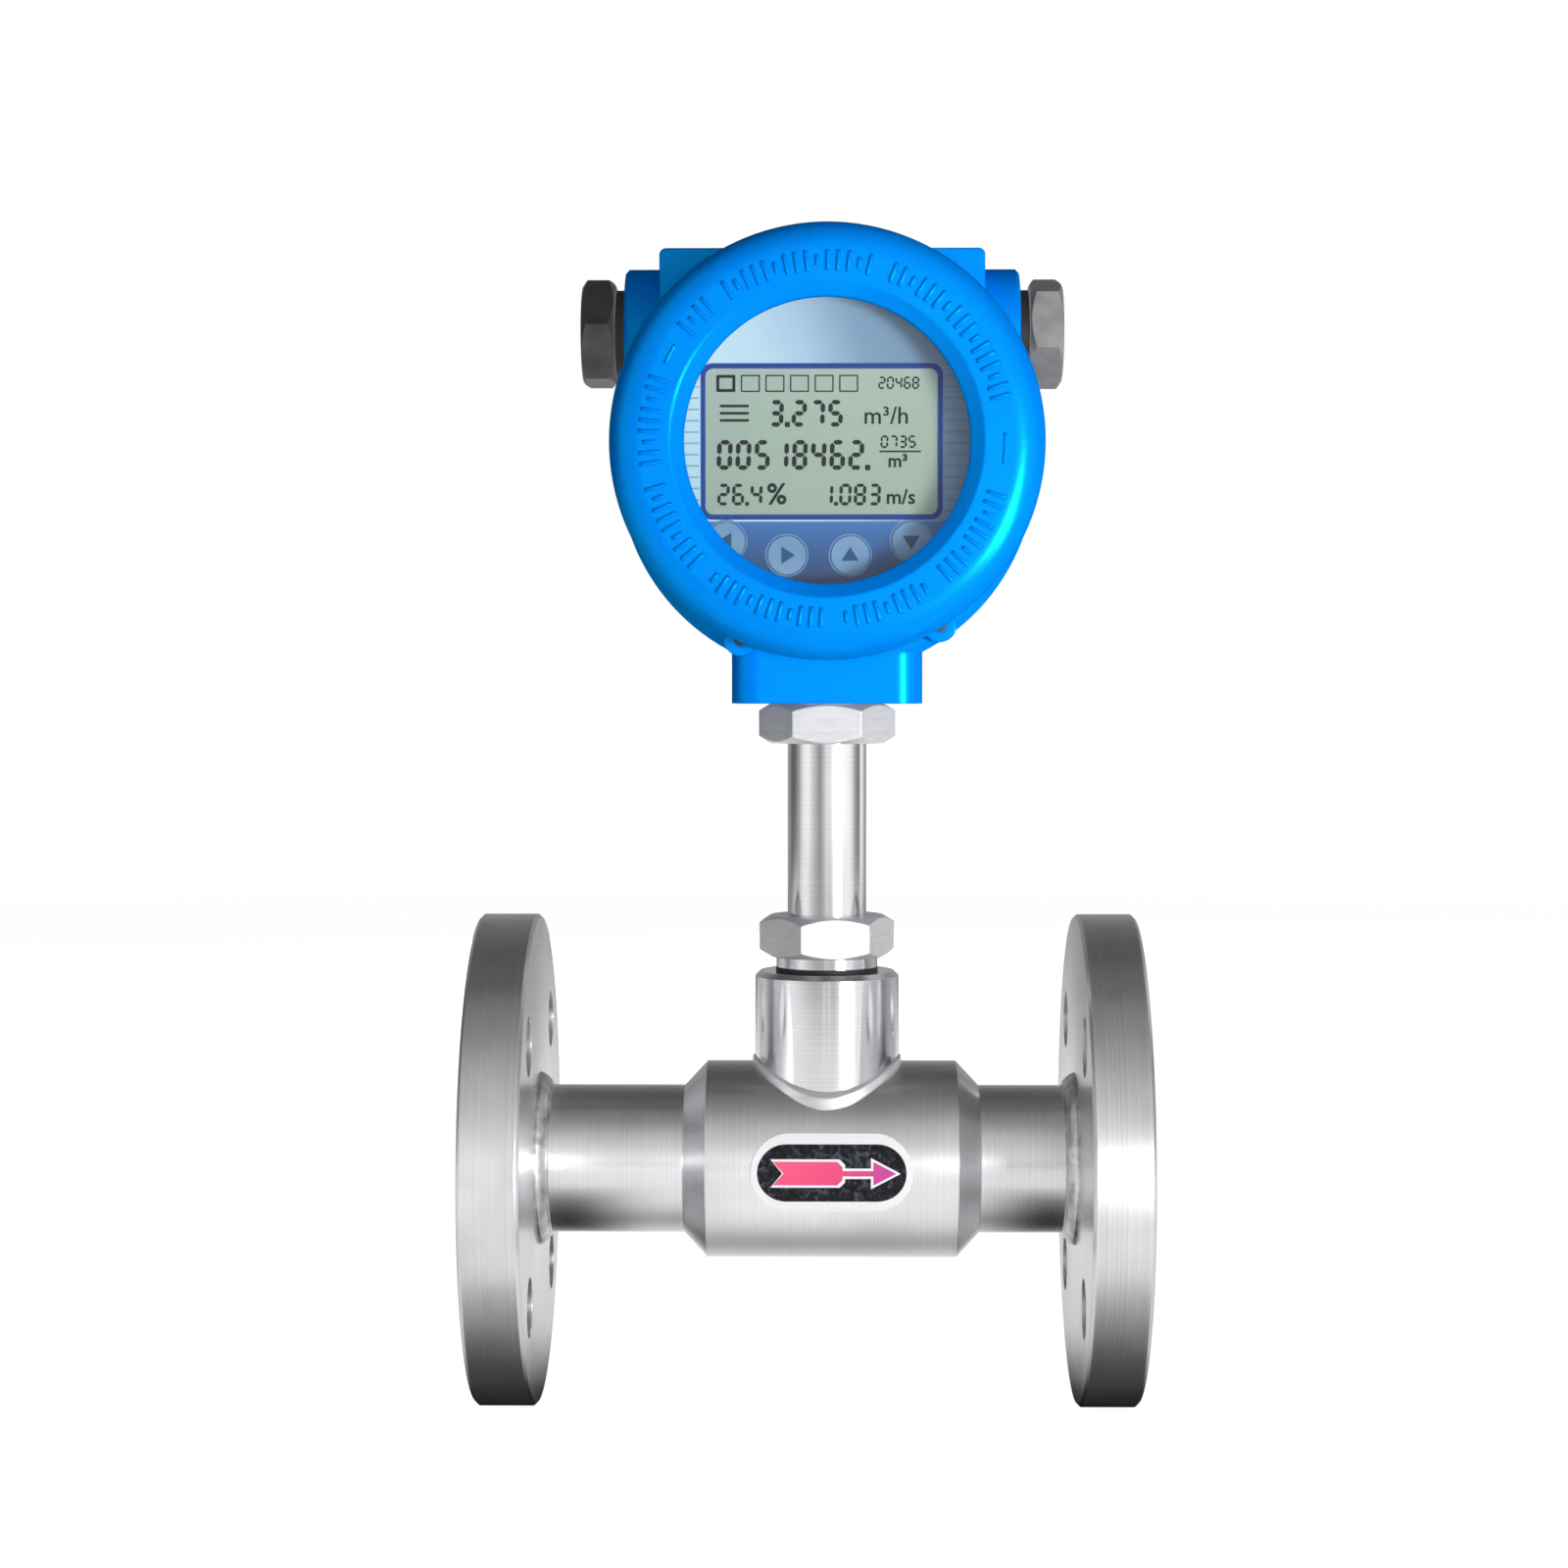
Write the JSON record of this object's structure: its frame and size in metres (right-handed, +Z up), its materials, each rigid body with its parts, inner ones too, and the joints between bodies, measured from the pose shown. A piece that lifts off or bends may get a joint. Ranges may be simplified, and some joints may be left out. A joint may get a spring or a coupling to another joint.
{
  "type": "thermal mass flow meter",
  "caption": "Inline thermal mass flow meter: a flanged flow tube with a probe, a stem with hexagon nuts and a swivelling two-chamber head with a display window.",
  "frame": {"origin": "centre of the inlet flange's sealing face, on the pipe axis", "axes": "+X along the flow, +Z up the sensor stem to the head, -Y towards the display's reader"},
  "size_m": [0.2, 0.15, 0.355],
  "materials": {
    "turned_steel": "turned",
    "pipe_steel": "polished",
    "weld_steel": "as welded",
    "nut_steel": "machined",
    "sensor_steel": "ground",
    "plate_print": "printed",
    "blue_enamel": "gloss",
    "glass": "clear",
    "rubber": "matt",
    "ferrule_brass": "turned",
    "aluminium": "anodised",
    "plug_metal": "satin",
    "face_film": "printed",
    "display": "polariser",
    "board": "solder mask",
    "button_plastic": "moulded",
    "terminal_plastic": "moulded",
    "lead_jacket": "matt",
    "screw_steel": "plated"
  },
  "bodies": {
    "flow_tube": {"inlet_flange": "turned_steel", "outlet_flange": "turned_steel", "inlet_pipe": "pipe_steel", "outlet_pipe": "pipe_steel", "inlet_weld": "weld_steel", "outlet_weld": "weld_steel", "flow_body": "pipe_steel", "sensor_boss": "pipe_steel", "boss_weld": "weld_steel", "arrow_plate": "plate_print", "gland_gasket": "rubber", "gland_body": "nut_steel", "gland_ferrule": "ferrule_brass", "gland_nut": "nut_steel", "stem_tube": "pipe_steel", "probe_tube": "sensor_steel", "sensor_guard": "sensor_steel", "heated_sensor": "sensor_steel", "reference_sensor": "sensor_steel", "sensor_lead": "lead_jacket", "lock_nut": "nut_steel", "swivel_seal": "rubber"},
    "head": {"housing": "blue_enamel", "feedthrough": "terminal_plastic", "faceplate": "face_film", "lcd_module": "display", "display_board": "board", "main_board": "board", "board_standoffs": "ferrule_brass", "board_screws": "screw_steel", "board_lead": "lead_jacket", "power_board": "board", "terminal_block": "terminal_plastic", "terminal_screws": "screw_steel", "cover_lock_screw": "screw_steel", "earth_screw": "ferrule_brass"},
    "front_cover_carrier": {"front_cover_seal": "rubber"},
    "front_cover_group": {"front_cover": "blue_enamel", "window_glass": "glass", "glass_gasket": "rubber", "glass_retainer": "aluminium"},
    "rear_cover_carrier": {"rear_cover_seal": "rubber"},
    "rear_cover_group": {"rear_cover": "blue_enamel"},
    "left_plug_carrier": {"left_plug_seal": "rubber"},
    "left_plug_group": {"left_plug": "plug_metal"},
    "right_plug_carrier": {"right_plug_seal": "rubber"},
    "right_plug_group": {"right_plug": "plug_metal"},
    "left_key": {"button_left": "button_plastic"},
    "next_key": {"button_next": "button_plastic"},
    "up_key": {"button_up": "button_plastic"},
    "enter_key": {"button_enter": "button_plastic"}
  },
  "joints": [
    {"name": "head_swivel", "type": "hinge", "parent": "flow_tube", "child": "head", "pos_m": [0.106, 0, 0.14], "axis": [0, 0, 1], "range_deg": [-175, 175]},
    {"name": "front_cover_travel", "type": "slide", "parent": "head", "child": "front_cover_carrier", "axis": [0, -1, 0], "range_m": [0, 0.012]},
    {"name": "front_cover_turn", "type": "hinge", "parent": "front_cover_carrier", "child": "front_cover_group", "pos_m": [0.106, 0, 0.2165], "axis": [0, -1, 0], "range_deg": [0, 2160]},
    {"name": "rear_cover_travel", "type": "slide", "parent": "head", "child": "rear_cover_carrier", "axis": [0, 1, 0], "range_m": [0, 0.012]},
    {"name": "rear_cover_turn", "type": "hinge", "parent": "rear_cover_carrier", "child": "rear_cover_group", "pos_m": [0.106, 0, 0.2165], "axis": [0, 1, 0], "range_deg": [0, 2160]},
    {"name": "left_plug_travel", "type": "slide", "parent": "head", "child": "left_plug_carrier", "axis": [-1, 0, 0], "range_m": [0, 0.0105]},
    {"name": "left_plug_turn", "type": "hinge", "parent": "left_plug_carrier", "child": "left_plug_group", "pos_m": [0.106, 0, 0.252], "axis": [-1, 0, 0], "range_deg": [0, 2520]},
    {"name": "right_plug_travel", "type": "slide", "parent": "head", "child": "right_plug_carrier", "axis": [1, 0, 0], "range_m": [0, 0.0105]},
    {"name": "right_plug_turn", "type": "hinge", "parent": "right_plug_carrier", "child": "right_plug_group", "pos_m": [0.106, 0, 0.252], "axis": [1, 0, 0], "range_deg": [0, 2520]},
    {"name": "button_left_press", "type": "slide", "parent": "head", "child": "left_key", "axis": [0, 1, 0], "range_m": [0, 0.0005], "stiffness_N_per_m": 400},
    {"name": "button_next_press", "type": "slide", "parent": "head", "child": "next_key", "axis": [0, 1, 0], "range_m": [0, 0.0005], "stiffness_N_per_m": 400},
    {"name": "button_up_press", "type": "slide", "parent": "head", "child": "up_key", "axis": [0, 1, 0], "range_m": [0, 0.0005], "stiffness_N_per_m": 400},
    {"name": "button_enter_press", "type": "slide", "parent": "head", "child": "enter_key", "axis": [0, 1, 0], "range_m": [0, 0.0005], "stiffness_N_per_m": 400}
  ],
  "couplings": [
    {"joint": "front_cover_travel", "follows": "front_cover_turn", "m_per_rad": 0.0003183},
    {"joint": "rear_cover_travel", "follows": "rear_cover_turn", "m_per_rad": 0.0003183},
    {"joint": "left_plug_travel", "follows": "left_plug_turn", "m_per_rad": 0.00023873},
    {"joint": "right_plug_travel", "follows": "right_plug_turn", "m_per_rad": 0.00023873}
  ]
}
